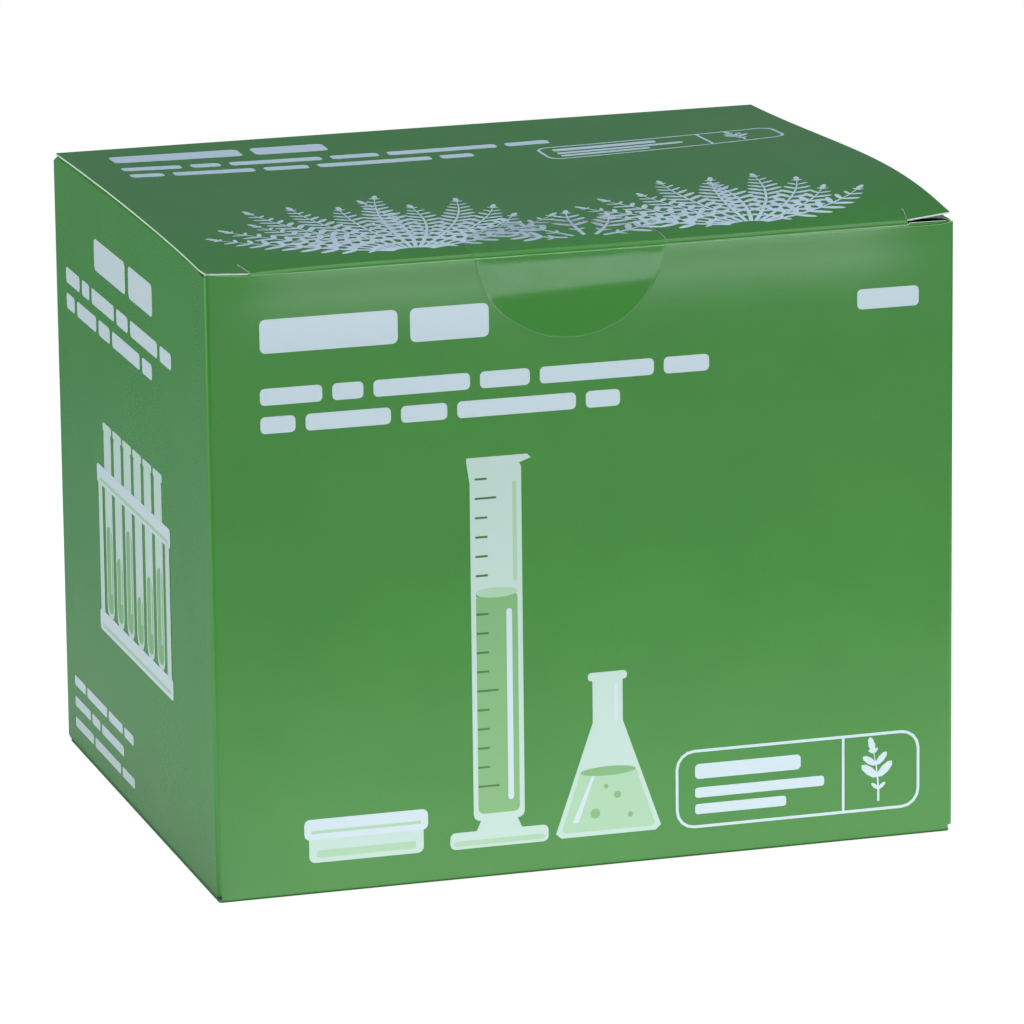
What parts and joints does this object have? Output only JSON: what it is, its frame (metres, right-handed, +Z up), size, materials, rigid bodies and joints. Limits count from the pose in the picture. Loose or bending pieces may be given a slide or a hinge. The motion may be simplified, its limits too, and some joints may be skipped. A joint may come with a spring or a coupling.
{
  "type": "sealed folding carton",
  "caption": "Sealed reverse-tuck boxboard carton of nested lab trays, printed green, with a bowed tuck lid held shut by a round clear seal over its front crease.",
  "frame": {"origin": "middle of the bottom panel, on the surface that the carton stands on", "axes": "+Z up, front panel faces -Y, +X to the right as the front is seen, hinge of the lid at +Y"},
  "size_m": [0.196, 0.1592, 0.1661],
  "materials": {
    "printed_board": "green ink with a satin coat outside, white board at the cut edges",
    "clear_film": "clear gloss film"
  },
  "bodies": {
    "root": {"carton": "printed_board", "wafer_seal": "clear_film"}
  },
  "joints": []
}
